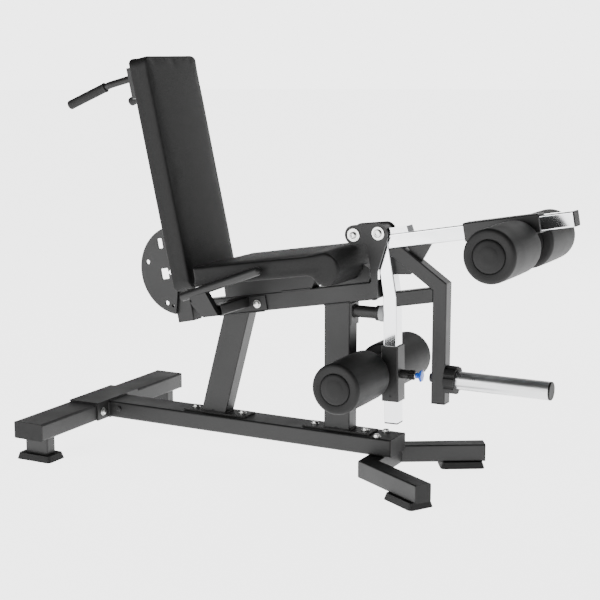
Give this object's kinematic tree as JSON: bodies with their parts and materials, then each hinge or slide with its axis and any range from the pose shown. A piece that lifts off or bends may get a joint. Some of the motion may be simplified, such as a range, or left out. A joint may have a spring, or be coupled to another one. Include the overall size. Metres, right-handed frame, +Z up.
{
  "type": "leg extension machine",
  "caption": "Plate loaded leg extension and leg curl machine with a reclining padded back, a padded seat, foam rollers on a pivoting lever and a loading horn.",
  "frame": {"origin": "middle of the machine's length and width, on the floor", "axes": "+X forward, the way a seated user faces; +Y to the user's left; +Z up"},
  "size_m": [1.5562, 0.743, 1.1635],
  "materials": {
    "powder_coat": "satin",
    "chrome_tube": "polished",
    "satin_steel": "satin",
    "zinc_steel": "satin",
    "knob_plastic": "matte",
    "blue_knob": "gloss",
    "rubber": "matte",
    "black_plastic": "satin",
    "plywood": "raw",
    "vinyl_pad": "matte",
    "foam_roller": "matte"
  },
  "bodies": {
    "frame": {"bumper_bracket": "powder_coat", "bumper_pad": "rubber", "frame_bolts": "zinc_steel", "frame_end_caps": "black_plastic", "front_foot": "powder_coat", "front_foot_pads": "rubber", "front_upright": "powder_coat", "left_pivot_plate": "powder_coat", "left_seat_handle": "powder_coat", "lever_axle": "zinc_steel", "main_beam": "powder_coat", "pivot_washers": "zinc_steel", "rail_side_plates": "powder_coat", "rear_cross_beam": "powder_coat", "rear_foot_pads": "rubber", "rear_posts": "powder_coat", "rear_upright": "powder_coat", "recline_axle": "zinc_steel", "recline_post": "powder_coat", "right_pivot_plate": "powder_coat", "right_seat_handle": "powder_coat", "saddle_plate": "powder_coat", "seat_board": "plywood", "seat_pad": "vinyl_pad", "seat_rail": "powder_coat", "seat_support": "powder_coat", "tie_bolt": "zinc_steel", "tie_spacer": "zinc_steel"},
    "backrest": {"recline_plate": "powder_coat", "recline_side_plate": "powder_coat", "backrest_bar": "powder_coat", "backrest_board": "plywood", "backrest_pad": "vinyl_pad", "handle_crossbar": "powder_coat", "right_back_handle": "powder_coat", "left_back_handle": "powder_coat", "back_handle_grips": "rubber"},
    "latch_pin": {"recline_pin": "knob_plastic"},
    "lever": {"pivot_barrel": "powder_coat", "curl_bar": "chrome_tube", "extension_bar": "chrome_tube", "weight_arm": "powder_coat", "lever_end_caps": "black_plastic", "weight_horn": "satin_steel", "horn_collar": "rubber", "horn_bolt": "zinc_steel"},
    "lower_carriage": {"lower_sleeve": "powder_coat", "lower_axle": "satin_steel"},
    "lower_pull_pin": {"lower_pin": "blue_knob"},
    "upper_carriage": {"upper_sleeve": "powder_coat", "upper_axle": "satin_steel"},
    "upper_pull_pin": {"upper_pin": "blue_knob"},
    "lower_right_roller": {"lower_right_foam": "foam_roller", "lower_right_hub": "black_plastic"},
    "lower_left_roller": {"lower_left_foam": "foam_roller", "lower_left_hub": "black_plastic"},
    "upper_right_roller": {"upper_right_foam": "foam_roller", "upper_right_hub": "black_plastic"},
    "upper_left_roller": {"upper_left_foam": "foam_roller", "upper_left_hub": "black_plastic"}
  },
  "joints": [
    {"name": "backrest_recline", "type": "hinge", "parent": "frame", "child": "backrest", "pos_m": [-0.41105, 0, 0.54], "axis": [0, -1, 0], "range_deg": [0, 88]},
    {"name": "latch_pull", "type": "slide", "parent": "frame", "child": "latch_pin", "axis": [0, 1, 0], "range_m": [0, 0.012], "stiffness_N_per_m": 600, "springref_m": -0.01},
    {"name": "lever_swing", "type": "hinge", "parent": "frame", "child": "lever", "pos_m": [0.23295, 0, 0.689], "axis": [0, -1, 0], "range_deg": [0, 100]},
    {"name": "lower_adjust", "type": "slide", "parent": "lever", "child": "lower_carriage", "axis": [0.0212, 0, -0.9998], "range_m": [-0.045, 0.045]},
    {"name": "lower_pin_pull", "type": "slide", "parent": "lower_carriage", "child": "lower_pull_pin", "axis": [1, 0, 0], "range_m": [0, 0.01], "stiffness_N_per_m": 600, "springref_m": -0.01},
    {"name": "upper_adjust", "type": "slide", "parent": "lever", "child": "upper_carriage", "axis": [0.9848, 0, 0.1736], "range_m": [-0.09, 0.045]},
    {"name": "upper_pin_pull", "type": "slide", "parent": "upper_carriage", "child": "upper_pull_pin", "axis": [0, 1, 0], "range_m": [0, 0.01], "stiffness_N_per_m": 600, "springref_m": -0.01},
    {"name": "lower_right_roller_spin", "type": "hinge", "parent": "lower_carriage", "child": "lower_right_roller", "pos_m": [0.21095, 0, 0.297], "axis": [0, 1, 0], "continuous": true},
    {"name": "lower_left_roller_spin", "type": "hinge", "parent": "lower_carriage", "child": "lower_left_roller", "pos_m": [0.21095, 0, 0.297], "axis": [0, 1, 0], "continuous": true},
    {"name": "upper_right_roller_spin", "type": "hinge", "parent": "upper_carriage", "child": "upper_right_roller", "pos_m": [0.62995, 0, 0.68], "axis": [0, 1, 0], "continuous": true},
    {"name": "upper_left_roller_spin", "type": "hinge", "parent": "upper_carriage", "child": "upper_left_roller", "pos_m": [0.62995, 0, 0.68], "axis": [0, 1, 0], "continuous": true}
  ]
}
